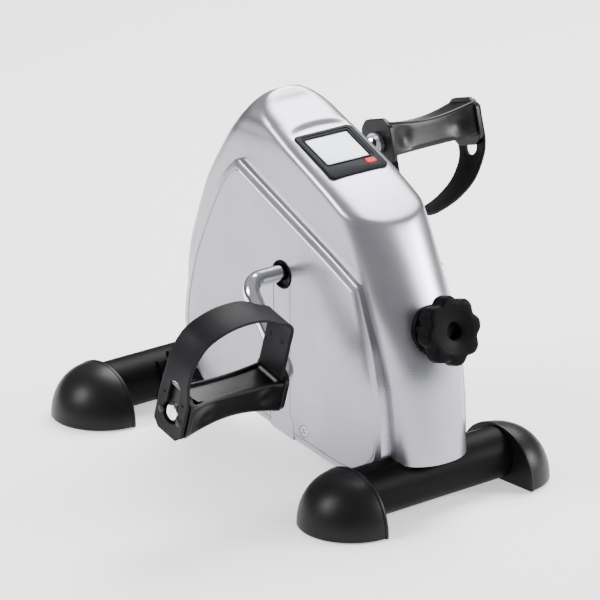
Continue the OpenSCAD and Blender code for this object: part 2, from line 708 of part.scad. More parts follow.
tube(-tube_y);  // front_tube
tube(tube_y);  // rear_tube
foot(-1, -1);  // front_left_foot
foot(1, -1);  // front_right_foot
foot(-1, 1);  // rear_left_foot
foot(1, 1);  // rear_right_foot
foot_pads();
saddle(-1);  // front_saddle
saddle(1);  // rear_saddle
tube_bolts();
frame_beam();
bearing_plate(-1);  // left_bearing_plate
bearing_plate(1);  // right_bearing_plate
bearing(-1);  // left_bearing
bearing(1);  // right_bearing
band_anchor();
brake_band();
screw_bracket();
main_cover();
side_cover(-1);  // left_side_cover
side_cover(1);  // right_side_cover
slot_strip(-1);  // left_slot_strip
slot_strip(1);  // right_slot_strip
exit_ring(-1);  // left_exit_ring
exit_ring(1);  // right_exit_ring
cover_screws();
knob_collar();
tension_knob();
tension_screw();
tension_nut();
console_case();
console_window();
lcd_panel();
console_board();
console_back();
button_cell();
reset_button();
reed_sensor();
sensor_wire();
crank_rod();
brake_drum();
sensor_magnet();
on_left_arm() spindle_nut();  // left_spindle_nut
on_right_arm() spindle_nut();  // right_spindle_nut
on_left_arm() washer();  // left_washer
on_right_arm() washer();  // right_washer
on_left_pedal() pedal();  // left_pedal
on_right_pedal() pedal();  // right_pedal
on_left_pedal() strap(LOOSE, left_strap_h);  // left_strap
on_right_pedal() strap(SNUG, right_strap_h);  // right_strap
on_left_pedal() strap_pegs();  // left_strap_pegs
on_right_pedal() strap_pegs();  // right_strap_pegs
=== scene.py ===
# %% [markdown]
# # A pedal exerciser, dressed for its picture
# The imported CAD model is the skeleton: every tube, crank and screw already sits where it belongs.
# This lesson gives that skeleton its finished surfaces, piece by piece, then lights it softly.
# Everything is in metres: +X runs along the crank, -Y faces the user and +Z is up.

# %% Load the fixed frame
import json
import math

import bpy
import numpy as np
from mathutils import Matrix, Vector

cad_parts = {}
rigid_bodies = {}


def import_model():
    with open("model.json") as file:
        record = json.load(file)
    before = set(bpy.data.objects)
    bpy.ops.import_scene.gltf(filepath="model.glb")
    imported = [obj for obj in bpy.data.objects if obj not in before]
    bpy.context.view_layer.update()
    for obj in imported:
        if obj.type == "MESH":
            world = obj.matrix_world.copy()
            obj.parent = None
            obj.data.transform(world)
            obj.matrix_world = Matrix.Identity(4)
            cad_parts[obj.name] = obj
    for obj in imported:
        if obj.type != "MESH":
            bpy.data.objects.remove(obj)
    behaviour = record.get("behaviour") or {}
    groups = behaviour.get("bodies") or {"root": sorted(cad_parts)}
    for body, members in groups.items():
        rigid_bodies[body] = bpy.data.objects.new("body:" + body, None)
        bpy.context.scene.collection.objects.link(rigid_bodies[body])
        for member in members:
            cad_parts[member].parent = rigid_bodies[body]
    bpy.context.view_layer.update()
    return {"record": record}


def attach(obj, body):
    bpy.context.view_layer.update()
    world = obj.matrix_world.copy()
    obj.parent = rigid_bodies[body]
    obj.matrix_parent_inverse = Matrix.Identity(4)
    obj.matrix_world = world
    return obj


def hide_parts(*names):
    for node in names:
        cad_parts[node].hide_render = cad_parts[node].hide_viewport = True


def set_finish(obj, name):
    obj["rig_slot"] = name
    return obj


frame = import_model()

# %% [markdown]
# Sizes in this lesson are written in millimetres, as on a drawing, and turned into metres in one
# place, where a mesh is made. Nearly every new piece is a grid: rows of points, each row a ring or
# a profile, worked out as whole arrays. One function joins a grid into faces and can close it
# round either way, and another sets the piece on its body.

# %% From arrays to pieces
MM = 0.001
RIDES = {"base": "base", "crank": "crank", "left": "left_pedal_unit", "right": "right_pedal_unit",
         "knob": "knob", "button": "button"}


def grid_faces(rows, cols, wrap_rows=False, wrap_cols=True):
    """Four-cornered faces of a grid: point (i, j) joins (i, j+1), (i+1, j+1) and (i+1, j)."""
    i, j = np.meshgrid(np.arange(rows if wrap_rows else rows - 1),
                       np.arange(cols if wrap_cols else cols - 1), indexing="ij")
    k, l = (i + 1) % rows, (j + 1) % cols
    return np.stack([i * cols + j, i * cols + l, k * cols + l, k * cols + j], -1).reshape(-1, 4)


def volume(points, faces):
    """Enclosed volume: the sum over triangles of a . (b x c) / 6, positive when faces look out."""
    total = 0.0
    for size in sorted({len(f) for f in faces}):
        corner = points[np.array([f for f in faces if len(f) == size])]
        for k in range(1, size - 1):
            total += np.einsum("ij,ij->", corner[:, 0], np.cross(corner[:, k], corner[:, k + 1])) / 6
    return total


def piece(name, points, faces, body, slot, replaces=(), sharp=35):
    """Makes one mesh from points in millimetres, faces turned outwards, and sets it on its body."""
    points = np.asarray(points, float).reshape(-1, 3)
    faces = [list(map(int, f)) for f in faces]
    if volume(points, faces) < 0:
        faces = [f[::-1] for f in faces]
    mesh = bpy.data.meshes.new(name)
    mesh.from_pydata((points * MM).tolist(), [], faces)
    mesh.validate()
    mesh.shade_smooth()
    mesh.set_sharp_from_angle(angle=math.radians(sharp))
    obj = bpy.data.objects.new(name, mesh)
    bpy.context.scene.collection.objects.link(obj)
    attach(obj, RIDES[body])
    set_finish(obj, slot)
    if replaces:
        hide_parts(*replaces)
    print(f"{name}: {len(points)} points, {len(faces)} faces")
    return obj


def closed_grid(grid, wrap_rows=False):
    """Points and faces of a tube-like grid. Its first and last rings get a cap each, or join."""
    rows, cols = grid.shape[:2]
    faces = [list(f) for f in grid_faces(rows, cols, wrap_rows)]
    if not wrap_rows:
        faces += [list(range(cols))[::-1], [(rows - 1) * cols + j for j in range(cols)]]
    return grid.reshape(-1, 3), faces


def join(parts):
    """Several (points, faces) pairs as one, each part's face numbers moved past those before."""
    points, faces, start = [], [], 0
    for p, f in parts:
        p = np.asarray(p, float).reshape(-1, 3)
        if volume(p, f) < 0:
            f = [list(q)[::-1] for q in f]
        points.append(p)
        faces += [[int(v) + start for v in q] for q in f]
        start += len(p)
    return np.concatenate(points), faces


def power(a, e):
    """Signed power: the sign of a times |a| to the e, which squares a circle's shoulders."""
    return np.sign(a) * np.abs(a) ** e


def spun(profile, steps=64):
    """A profile of (along, radius) points turned about the first axis: (s, r cos a, r sin a)."""
    profile = np.asarray(profile, float)
    a = np.arange(steps) * 2 * np.pi / steps
    s, r = profile[:, :1] + 0 * a, profile[:, 1:] + 0 * a
    return np.stack([s, r * np.cos(a), r * np.sin(a)], -1)


def rounded(corners, radius, steps=8):
    """A polygon with each corner replaced by a quadratic curve, b(1-t)^2 + 2ct(1-t) + dt^2,
    from a point on the edge before to one on the edge after, radius away or half an edge."""
    c = np.asarray(corners, float)
    before, after = np.roll(c, 1, 0) - c, np.roll(c, -1, 0) - c
    lb, la = np.linalg.norm(before, axis=1)[:, None], np.linalg.norm(after, axis=1)[:, None]
    start = c + before / lb * np.minimum(radius, lb / 2)
    end = c + after / la * np.minimum(radius, la / 2)
    t = np.linspace(0, 1, steps)[None, :, None]
    curve = start[:, None] * (1 - t) ** 2 + 2 * c[:, None] * t * (1 - t) + end[:, None] * t ** 2
    return curve.reshape(-1, 2)


def turned(grid, degrees):
    """The grid turned about the X axis: (x, y cos a - z sin a, y sin a + z cos a)."""
    c, s = math.cos(math.radians(degrees)), math.sin(math.radians(degrees))
    g = np.array(grid, float)
    y, z = g[..., 1], g[..., 2]
    return np.stack([g[..., 0], y * c - z * s, y * s + z * c], -1)


# %% [markdown]
# The main cover is one moulding. Seen from above it is a rounded oblong at every height, and the
# oblong shrinks, slides back and grows squarer towards the top. So the surface is a stack of
# level sections, and a smooth curve through the table of sections gives any height between.

# %% Main cover
# Height, rear, half width and squareness of the level sections. The squareness n is the power in
# |x|^n + |y|^n = 1: 2 gives an ellipse and 4 a nearly square corner
LEVELS = np.array([
    [20, 94, 34, 2.2], [70, 102, 34.5, 2.2], [111, 104, 36, 2.25], [150, 99, 38.8, 2.25],
    [188, 86, 40, 2.25], [222, 72, 40, 2.4], [245, 58, 39.5, 2.6], [268, 43, 37.5, 3],
    [283, 31, 33.5, 3], [290, 24, 27, 2.8], [295, 19, 18, 2.4], [297.4, 15, 7.5, 2],
    [297.8, 13.6, 0.3, 2]])
# The front has two faces, each given by height and y: the upright nose, and the sloping top that
# starts behind it
NOSE_LINE = np.array([(20, -185), (70, -180), (111, -174), (150, -161), (188, -143.5), (222, -125.5),
                      (245, -112), (268, -98), (297.4, -80), (298, -79.5)])
TOP_LINE = np.array([(20, -480), (188, -184), (222, -125.5), (245, -86), (268, -40), (283, -11),
                     (290, 1.5), (295, 8.5), (297.4, 12.3), (297.8, 13.2)])
# How deep the nose and the tail are rounded, the wall, the sloping top's squareness, and the
# softness of the brow where the top meets the nose
NOSE, TAIL, WALL, TOP_SQUARE, BROW = 28.0, 22.0, 2.5, 4.0, 2.2
# Shares of the ring: the front ends at the first, one side at the second, the tail at the third
FRONT_END, SIDE_END, TAIL_END = 0.5, 0.56, 0.94
TILT, CONSOLE_AT = math.radians(24.6), np.array([0, -55, 261.5])
# The distance walked up the table gives each section its place on the smooth curve
walk = np.concatenate([[0], np.cumsum(np.linalg.norm(np.diff(LEVELS[:, :3], axis=0), axis=1))])


def through(u, knots, values):
    """A smooth curve through the values: on each span the cubic with the neighbours' slopes."""
    slope = np.gradient(values, knots)
    k = np.clip(np.searchsorted(knots, u, side="right") - 1, 0, len(knots) - 2)
    h = knots[k + 1] - knots[k]
    t = (u - knots[k]) / h
    return ((2 * t ** 3 - 3 * t ** 2 + 1) * values[k] + (t ** 3 - 2 * t ** 2 + t) * h * slope[k]
            + (3 * t ** 2 - 2 * t ** 3) * values[k + 1] + (t ** 3 - t ** 2) * h * slope[k + 1])


def bulge(x, half, depth, square):
    """How far a rounded front falls back at x: depth * (1 - (1 - |x / half|^n)^(1/n))."""
    return depth * (1 - np.clip(1 - np.abs(x / half) ** square, 0, 1) ** (1 / square))


def cover_points(u, ring):
    """A point of the cover: level section u, at ring position 0 to 1. The front is the later of
    two rounded fronts, the nose's and the sloping top's, run together over a few millimetres:
    (a + b + sqrt((a - b)^2 + c^2)) / 2. Straight sides and a rounded tail close the section."""
    z, rear, half, square = (through(u, walk, LEVELS[:, c]) for c in range(4))
    top = through(z, TOP_LINE[:, 0], TOP_LINE[:, 1])
    nose = through(z, NOSE_LINE[:, 0], NOSE_LINE[:, 1])
    front = np.maximum(top, nose)
    depth = np.minimum(NOSE, (rear - front) / 2)
    tail = np.minimum(TAIL, (rear - front) / 2)
    a = np.pi * (1 + np.clip(ring / FRONT_END, 0, 1))
    x1 = half * power(np.cos(a), 0.75)
    ya = top + bulge(x1, half, depth, TOP_SQUARE)
    yb = nose + bulge(x1, half, depth, square)
    y1 = (ya + yb + np.sqrt((ya - yb) ** 2 + BROW ** 2)) / 2
    b = np.pi * np.clip((ring - SIDE_END) / 0.38, 0, 1)
    s1, s2 = np.clip((ring - FRONT_END) / 0.06, 0, 1), np.clip((ring - TAIL_END) / 0.06, 0, 1)
    x2, y2 = half * power(np.cos(b), 2 / 3), rear - tail + tail * power(np.sin(b), 2 / 3)
    corner = front + depth
    x = np.where(ring < FRONT_END, x1, np.where(ring < SIDE_END, half,
                                                np.where(ring < TAIL_END, x2, -half)))
    y = np.where(ring < FRONT_END, np.minimum(y1, corner + 1), np.where(
        ring < SIDE_END, corner * (1 - s1) + (rear - tail) * s1,
        np.where(ring < TAIL_END, y2, (rear - tail) * (1 - s2) + corner * s2)))
    return np.stack([x, y, z], -1)


rows, cols, foot_rows = 261, 240, 12
ring = np.arange(cols) / cols
u = np.concatenate([np.linspace(0, walk[1], foot_rows, endpoint=False),
                    np.linspace(walk[1], walk[-1], rows - foot_rows)])
u_grid, ring_grid = np.meshgrid(u, ring, indexing="ij")
shell = cover_points(u_grid, ring_grid)
# The foot of the cover follows a sloping cut: level at the nose, rising to the rear
foot = np.interp(shell[0, :, 1], [-200, -150, -130, 98], [40, 40, 36, 52])
low = u_grid <= walk[1]
lift = foot[None] + (shell[..., 2] - 20) * (70 - foot[None]) / 50
u_grid = np.where(low, np.interp(lift, LEVELS[:2, 0], walk[:2]), u_grid)
shell = cover_points(u_grid, ring_grid)

# The console's seat: inside an arch round it, the skin drops below the console's face
SEAT_HALF, ARCH_FOOT, ARCH_RISE, SEAT_EDGE, SEAT_DEPTH = 32, 28.5, 10.0, 6.5, 1.6
dy, dz = shell[..., 1] - CONSOLE_AT[1], shell[..., 2] - CONSOLE_AT[2]
up_slope = dy * math.cos(TILT) + dz * math.sin(TILT)
proud = dz * math.cos(TILT) - dy * math.sin(TILT)
across = np.abs(shell[..., 0])
arch = ARCH_FOOT + ARCH_RISE * np.sqrt(np.clip(1 - (across / SEAT_HALF) ** 2, 0, 1))
seat = np.clip((arch - up_slope) / SEAT_EDGE, 0, 1) * np.clip((SEAT_HALF - across) / 2.5, 0, 1)
seat = seat * seat * (3 - 2 * seat) * np.clip((up_slope + 34) / 12, 0, 1) * (shell[..., 2] > 225)
drop = seat * np.maximum(proud + SEAT_DEPTH, 0)
shell[..., 1] += drop * math.sin(TILT)
shell[..., 2] -= drop * math.cos(TILT)
# The wall's inner skin is every second row drawn towards the middle, joined to the outer skin
# round the open foot
MID_Y, MEAN_HALF_WIDTH, MEAN_HALF_DEPTH = -40, 36, 130
inner = shell[::-2].copy()
inner[..., 0] *= 1 - WALL / MEAN_HALF_WIDTH
inner[..., 1] = MID_Y + (inner[..., 1] - MID_Y) * (1 - WALL / MEAN_HALF_DEPTH)
inner[..., 2] -= np.clip((inner[..., 2] - 60) / 60, 0, 1) * WALL
points, faces = closed_grid(np.concatenate([inner, shell]))
piece("main_cover_moulding", points, faces, "base", "silver_plastic", ["main_cover"], 30)

# %% [markdown]
# Each side cover is a flat panel inside a gently sloping band, with a fine groove between them.
# Every edge of the outline moves inwards along its own normal and meets the next in a mitre, and
# each such step gets its depth: that carries the band round every corner at an even width. From
# the last step straight spokes run to the axle hole, because the whole outline is in sight of it.

# %% Side covers
AXLE = (-37.5, 167.0)
EXIT = (-37.5, 165.5)
HOLE = 11.0
# Distances from the middle plane: the skirt's hidden edge, the panel's back and its face
SKIRT, BACK, PANEL = 31.0, 42.5, 45.75
OUTLINE = [(19, 247), (34, 234), (44, 220), (57, 195), (67, 174), (76, 152), (84, 120), (87, 94),
           (82, 74), (72, 60), (63, 48), (-4, 40), (-50, 31), (-105, 22), (-128, 22), (-155, 40),
           (-154, 70), (-151, 99), (-143, 132), (-126, 177.5), (-94, 194)]
# How far each corner is softened: little at the apex and at the front corner
SOFT = np.full((len(OUTLINE), 1), 9.0)
SOFT[0], SOFT[-2] = 4.0, 2.0
# Steps inwards from the rim with their distance from the middle plane: wall, band, groove, panel
RIM = [(0.0, SKIRT), (0.0, 43.5), (0.15, 44.0), (0.6, 44.35), (2.6, 45.0), (4.6, 45.65), (5.4, 45.9),
       (5.8, 45.85), (6.1, 45.3), (6.7, 45.3), (7.1, 45.65), (7.8, PANEL)]
SPOKES = 13


def rim_line(inside):
    """The outline drawn in: every edge moves along its normal and meets the next in a mitre,
    c + d (m + n) / (1 + m.n). The corners are then softened and the long edges divided."""
    c = np.asarray(OUTLINE, float)
    along = np.roll(c, -1, 0) - c
    n = np.stack([along[:, 1], -along[:, 0]], -1) / np.linalg.norm(along, axis=1)[:, None]
    m = np.roll(n, 1, 0)
    mitred = c + inside * (m + n) / (1 + np.sum(m * n, axis=1))[:, None]
    soft = rounded(mitred, SOFT, 7).reshape(len(c), 7, 2)
    line = []
    for k, length in enumerate(np.linalg.norm(along, axis=1)):
        after = soft[(k + 1) % len(c)]
        line += [soft[k], np.linspace(soft[k][-1], after[0], 3 + int(length / 4))[1:-1]]
    return np.vstack(line)


rings = [np.insert(rim_line(d), 0, x, axis=1) for d, x in RIM]
groove = rings[-1][:, 1:]
spoke = groove - EXIT
hole = EXIT + spoke / np.linalg.norm(spoke, axis=1)[:, None] * (HOLE + 0.4)
for k in range(1, SPOKES + 1):
    mix = 1 - (1 - k / SPOKES) ** 1.3
    rings.append(np.insert(groove * (1 - mix) + hole * mix, 0, PANEL, axis=1))
edge = EXIT + (hole - EXIT) * HOLE / (HOLE + 0.4)
rings.append(np.insert(edge, 0, PANEL - 0.4, axis=1))
rings.append(np.insert(edge, 0, BACK, axis=1))
rings.append(np.insert(rim_line(3.0), 0, BACK, axis=1))
rings.append(np.insert(rim_line(2.5), 0, SKIRT, axis=1))
panel = np.array(rings)


def strip_plan(gap):
    """The slide-in strip seen from the side: round the axle hole above, straight, flared below."""
    w, r = 10 + gap, HOLE + 0.3 - gap
    a = np.linspace(-1, 1, 15) * math.asin(min(w / r, 0.999))
    top = np.column_stack([EXIT[0] + r * np.sin(a), EXIT[1] - r * np.cos(a)])
    y, low = EXIT[0], 25 * (gap > 0)
    return np.vstack([top, [[y + w, 56], [y + w + 4, 50], [y + w + 4, 36 - low],
                            [y - w - 4, 30.5 - low], [y - w - 4, 46], [y - w, 52]]])


def extruded(plan, x0, x1):
    """A side plan of (y, z) points carried from x0 to x1, with a face at each end."""
    plan = np.asarray(plan, float)
    grid = np.stack([np.column_stack([np.full(len(plan), x), plan]) for x in (x0, x1)])
    return closed_grid(grid)


def carve(obj, points, faces):
    """Cuts a closed solid out of a piece and keeps the result as the piece's own mesh."""
    if volume(np.asarray(points, float), faces) < 0:
        faces = [list(f)[::-1] for f in faces]
    mesh = bpy.data.meshes.new("cutter")
    mesh.from_pydata((np.asarray(points) * MM).tolist(), [], [list(map(int, f)) for f in faces])
    cutter = bpy.data.objects.new("cutter", mesh)
    bpy.context.scene.collection.objects.link(cutter)
    cut = obj.modifiers.new("cut", "BOOLEAN")
    cut.operation, cut.object, cut.solver = "DIFFERENCE", cutter, "EXACT"
    depsgraph = bpy.context.evaluated_depsgraph_get()
    done = bpy.data.meshes.new_from_object(obj.evaluated_get(depsgraph))
    obj.modifiers.clear()
    obj.data = done
    bpy.data.objects.remove(cutter)
    return obj


def bevel(obj, width, segments=2, angle=35):
    """Rounds a piece's edges by a width in millimetres."""
    mod = obj.modifiers.new("bevel", "BEVEL")
    mod.width, mod.segments, mod.limit_method = width * MM, segments, "ANGLE"
    mod.angle_limit = math.radians(angle)
    mod.harden_normals = False
    return obj


# The cover screws' places, sunk in round pockets
SCREWS = [(-64, 42), (-11, 49)]
for side, sign in (("left", -1), ("right", 1)):
    points, faces = closed_grid(panel * [sign, 1, 1], wrap_rows=True)
    cover = piece(f"{side}_side_moulding", points, faces, "base", "silver_plastic",
                  [f"{side}_side_cover"], 30)
    carve(cover, *extruded(strip_plan(0.3), sign * 30, sign * 60))
    for y, z in SCREWS:
        carve(cover, *closed_grid(spun([(sign * 44.2, 5.2), (sign * 60, 5.2)], 40) + [0, y, z]))
    cover.data.shade_smooth()
    cover.data.set_sharp_from_angle(angle=math.radians(30))
    points, faces = extruded(strip_plan(-0.1), sign * 43.0, sign * 45.8)
    strip = piece(f"{side}_strip_moulding", points, faces, "base", "silver_plastic",
                  [f"{side}_slot_strip"], 30)
    bevel(strip, 0.5)
    ring_profile = [(42, 9.8), (46.1, 9.8), (46.45, 10.0), (46.5, 10.4), (46.5, 11.2), (46.3, 11.5),
                    (45.8, 11.5), (45.8, 11.0), (42, 11.0)]
    points, faces = closed_grid(spun(ring_profile, 64) * [sign, 1, 1] + [0, *EXIT], wrap_rows=True)
    piece(f"{side}_exit_moulding", points, faces, "base", "black_plastic", [f"{side}_exit_ring"], 50)

# %% [markdown]
# The crank is one bar of 13.5 mm bright steel, bent in a jig. Its centre line lies in a plane, so it
# is laid out flat as straights and arcs, a circle is carried along it, and the lot is turned to
# the rest angle. The ring of points stays square to the line in every bend.

# %% Crank bar
# Half the bar's diameter, the crank's length and its angle from upright at rest
ROD, CRANK, LEAN = 6.75, 83.0, 39.5
ARM, AXLE_BEND, SPINDLE_BEND, TIP = 82.0, 14.0, 12.0, 196.4
SPINDLE = ARM + SPINDLE_BEND


def arc_points(centre, radius, start, end, steps=14):
    """Points of a circle's arc in the bar's plane: centre + radius (cos a, sin a)."""
    a = np.radians(np.linspace(start, end, steps))
    return np.column_stack([centre[0] + radius * np.cos(a), centre[1] + radius * np.sin(a)])


half_line = np.vstack([
    [[0, 0], [30, 0]], arc_points((ARM - AXLE_BEND, AXLE_BEND), AXLE_BEND, -90, 0),
    arc_points((SPINDLE, CRANK - SPINDLE_BEND), SPINDLE_BEND, 180, 90), [[140, CRANK], [TIP, CRANK]]])
line = np.vstack([-half_line[:0:-1], half_line])


def bar(line, radius, steps=40):
    """A circle carried along a flat line: p + radius (n cos a + m sin a), n across the line in its
    plane and m square to the plane."""
    d = np.gradient(line, axis=0)
    d /= np.linalg.norm(d, axis=1)[:, None]
    a = np.arange(steps) * 2 * np.pi / steps
    x = line[:, :1] - radius * d[:, 1:] * np.cos(a)
    z = line[:, 1:] + radius * d[:, :1] * np.cos(a)
    return np.stack([x, radius * np.sin(a) + 0 * x, z], -1)


rod = turned(bar(line, ROD), -LEAN) + [0, *AXLE]
points, faces = closed_grid(rod)
bevel(piece("crank_bar", points, faces, "crank", "chrome", ["crank_rod"]), 0.6)
LEFT_PEDAL = (AXLE[0] - CRANK * math.sin(math.radians(LEAN)),
              AXLE[1] - CRANK * math.cos(math.radians(LEAN)))
RIGHT_PEDAL = (2 * AXLE[0] - LEFT_PEDAL[0], 2 * AXLE[1] - LEFT_PEDAL[1])
# How far each pedal has tipped on its spindle; the right one hangs with its strap below
LEFT_TIP, RIGHT_TIP = 17, 15


def on_pedal(side, grid):
    """Sets points given along the spindle, across and towards the strap on one of the pedals."""
    g = np.array(grid, float)
    if side == "left":
        return turned(g * [-1, 1, 1], LEFT_TIP) + [0, *LEFT_PEDAL]
    return turned(g, 180 - RIGHT_TIP) + [0, *RIGHT_PEDAL]


# %% [markdown]
# A pedal is a bar-shaped moulding between two end plates. It is waisted in plan and arched below,
# with a channel along the top and a scoop in each side near the ends. The body is a loft: the
# same rounded section is carried along the spindle while its width and depth follow two curves.

# %% Pedals
# The pedal's two ends along the spindle, and its end plates' half width, top, foot and thickness
IN, OUT, PLATE_W, PLATE_TOP, PLATE_BOTTOM, PLATE = 99.0, 196.0, 18.0, 20.0, -19.5, 4.0


def pedal_body():
    """The loft's section at s runs round a box of half width w(s) and bottom b(s), shoulders
    rounded, with a channel pressed into the top between the rims."""
    s = np.linspace(0, 1, 73)
    x = IN + 2 + s * (OUT - IN - 4)
    waist = np.sin(np.pi * s)
    w = 16.6 - 4.2 * waist ** 0.9
    bottom = -16.5 + 5.5 * waist
    scoop = 1.9 * (np.exp(-((s - 0.17) / 0.075) ** 2) + np.exp(-((s - 0.80) / 0.10) ** 2))
    top = 12.0 + 0 * s
    channel = 3.2 * np.clip((s - 0.05) / 0.02, 0, 1) * np.clip((0.95 - s) / 0.02, 0, 1)
    # Round the section: channel floor, rim, shoulder, side with its scoop, lower edge, underside
    # as shares of the half width and the channel's depth, then millimetres down and the scoop's share
    half = [(0.0, -1.0, 0, 0), (0.55, -1.0, 0, 0), (0.74, -0.9, 0, 0), (0.80, -0.1, 0, 0),
            (0.88, 0, 0, 0), (0.955, 0, 0.5, 0), (1.0, 0, 1.6, 0), (1.0, 0, 4.5, 0.25),
            (0.99, 0, 8.0, 0.8), (0.985, 0, 12.5, 1.0), (0.985, 0, 17.5, 0.75)]
    ring = []
    for wide, chan, down, press in half:
        ring.append(np.column_stack([x, wide * w - press * scoop, top + chan * channel - down]))
    for wide, up in ((0.985, 3.2), (0.97, 1.2), (0.92, 0.3), (0.84, 0.0), (0.45, 0.0)):
        ring.append(np.column_stack([x, wide * w, bottom + up]))
    ring = np.array(ring)
    mirrored = ring[::-1][:-1] * [1, -1, 1]
    section = np.concatenate([ring, mirrored]).transpose(1, 0, 2)
    return closed_grid(section)


def end_plate(x0, x1):
    """A pedal's end plate: an oblong with cut-off corners, softened."""
    c = 7
    plan = [(-PLATE_W, PLATE_BOTTOM + c), (-PLATE_W, PLATE_TOP - c), (-PLATE_W + c, PLATE_TOP),
            (PLATE_W - c, PLATE_TOP), (PLATE_W, PLATE_TOP - c), (PLATE_W, PLATE_BOTTOM + c),
            (PLATE_W - c, PLATE_BOTTOM), (-PLATE_W + c, PLATE_BOTTOM)]
    return extruded(rounded(plan, 3, 5), x0, x1)


def rib(x, slant):
    """A thin rib across the channel, running at a slant between the two rims."""
    y = np.array([-9.5, 9.5])
    plan = np.array([[x - slant, y[0]], [x + slant, y[1]], [x + slant + 5, y[1]],
                     [x - slant + 5, y[0]]])
    grid = np.stack([np.column_stack([plan, np.full(4, z)]) for z in (8.0, 11.0)])
    return closed_grid(grid)


def boss(x0, x1, r0, r1):
    """A round boss on the spindle with softened rims."""
    return closed_grid(spun([(x0, r0 - 0.8), (x0 + 0.8, r0), (x1 - 0.8, r1), (x1, r1 - 0.8)], 48))


for side in ("left", "right"):
    parts = [pedal_body(), end_plate(IN, IN + PLATE), end_plate(OUT - PLATE, OUT), rib(180, 2.5)]
    points, faces = join([(on_pedal(side, p), f) for p, f in parts])
    pedal = piece(f"{side}_pedal_moulding", points, faces, side, "pedal_plastic", [f"{side}_pedal"])
    bevel(pedal, 0.7)
    parts = [boss(IN - 1.8, IN + 1, 9.0, 9.4), boss(OUT - 1, OUT + 0.6, 8.4, 8.4)]
    for y in (-11.0, 11.0):
        peg = spun([(0, 1.5), (2.6, 1.5), (2.6, 3.3), (3.3, 3.5), (4.0, 3.1), (4.4, 2.0)], 32)
        parts.append(closed_grid(peg + [OUT, y, -3.0]))
    points, faces = join([(on_pedal(side, p), f) for p, f in parts])
    piece(f"{side}_pedal_bosses", points, faces, side, "pedal_plastic", [f"{side}_strap_pegs"])

# %% [markdown]
# A strap is a band of soft PVC, 29 mm wide, with thinned and rounded edges. It is a ribbon: a flat
# oblong section carried along the loop's line. The outer leg widens to about 35 mm round the
# spindle's end, where a keyhole slot drops over the nut, and pinholes let it be hooked tighter.

# %% Straps
# Thickness, half width, and how much wider each side of the outer leg gets
STRAP_T, STRAP_W, FLARE = 2.5, 14.5, 2.8
# Each loop: distance in from the outer leg with the share of the height there, then the height
SNUG = ([(2, 0.43), (14, 0.69), (31, 0.86), (52, 0.97), (66, 1), (79, 0.94)], 66.0)
LOOSE = ([(-1.0, 0.4), (0.4, 0.62), (9, 0.84), (26, 0.96), (46, 1), (62, 0.98), (78, 0.89)], 78.5)


def strap_line(shape, height, slack, end, count=120):
    """The strap's middle line: flat on the outer plate, over the foot, flat on the inner plate."""
    out_x, in_x, top = OUT + slack + STRAP_T / 2, IN + PLATE + STRAP_T / 2, height - STRAP_T / 2
    knots = [(out_x, end), (out_x, -9), (out_x, 0), (out_x, PLATE_TOP - 2)]
    knots += [(out_x - q, share * top) for q, share in shape]
    knots += [(in_x + 1.5, height - 17), (in_x, height * 0.55), (in_x, 24), (in_x, 13)]
    knots = np.array(knots, float)
    at = np.concatenate([[0], np.cumsum(np.linalg.norm(np.diff(knots, axis=0), axis=1) ** 0.7)])
    u = np.linspace(0, at[-1], count)
    return np.column_stack([through(u, at, knots[:, 0]), through(u, at, knots[:, 1])])


def ribbon(line, half_width, thick):
    """A flat section with rounded edges carried along a line: p + n a + y b. The half width may
    change along the line."""
    d = np.gradient(line, axis=0)
    d /= np.linalg.norm(d, axis=1)[:, None]
    n = np.stack([-d[:, 1], d[:, 0]], -1)
    h, w = thick / 2, np.broadcast_to(half_width, len(line))[:, None]
    step = np.array([0.0, 0.35, 1.0, 2.2, 3.0])
    b = np.hstack([step - w, 0 * w, w - step[::-1]])
    a = np.array([0.35, 0.8, 1.0, 1.0, 0.78, 0.78, 0.78, 1.0, 1.0, 0.8, 0.35]) * h
    across, along = np.hstack([b, b[:, ::-1]]), np.concatenate([a, -a[::-1]])
    return np.stack([line[:, None, 0] + n[:, None, 0] * along, across,
                     line[:, None, 1] + n[:, None, 1] * along], -1)


def keyhole(x0, x1):
    """The keyhole: a round hole over the spindle, a straight slot above it with a round end."""
    a = np.radians(np.linspace(-222, 42, 25))
    low = np.column_stack([9.4 * np.cos(a), 9.4 * np.sin(a)])
    b = np.radians(np.linspace(0, 180, 13))
    high = np.column_stack([6.6 * np.cos(b), 22 + 6.6 * np.sin(b)])
    return extruded(np.vstack([low, high]), x0, x1)


for side, (shape, height), slack, end in (("left", LOOSE, 1.5, -19.5), ("right", SNUG, 0.0, -17.5)):
    line = strap_line(shape, height, slack, end)
    low = np.clip((36 - line[:, 1]) / 24, 0, 1) * (line[:, 0] > (IN + OUT) / 2)
    wide = STRAP_W + FLARE * low ** 2 * (3 - 2 * low)
    points, faces = closed_grid(on_pedal(side, ribbon(line, wide, STRAP_T)))
    strap = piece(f"{side}_strap_band", points, faces, side, "strap_plastic", [f"{side}_strap"])
    p, f = keyhole(OUT - 12, OUT + 20)
    carve(strap, on_pedal(side, p), f)
    for turn_over in (-1, 1):
        w = (STRAP_W + FLARE) * turn_over
        corner = [(w + turn_over, end - 1), (w - 7.5 * turn_over, end - 1), (w + turn_over, end + 7.5)]
        p, f = extruded(corner, OUT - 1, OUT + 9)
        carve(strap, on_pedal(side, p), f)
    for x0, x1, y, z, r in ((OUT - 3, OUT + 9, -11, 13.0, 1.1), (OUT - 3, OUT + 9, 11, 13.0, 1.1),
                            (IN + PLATE + 1.8, IN + 16, -6.5, 44, 2.2),
                            (IN + PLATE + 1.8, IN + 16, 6.5, 44, 2.2)):
        p, f = closed_grid(spun([(x0, r), (x1, r)], 24) + [0, y, z])
        carve(strap, on_pedal(side, p), f)
    strap.data.shade_smooth()
    strap.data.set_sharp_from_angle(angle=math.radians(35))

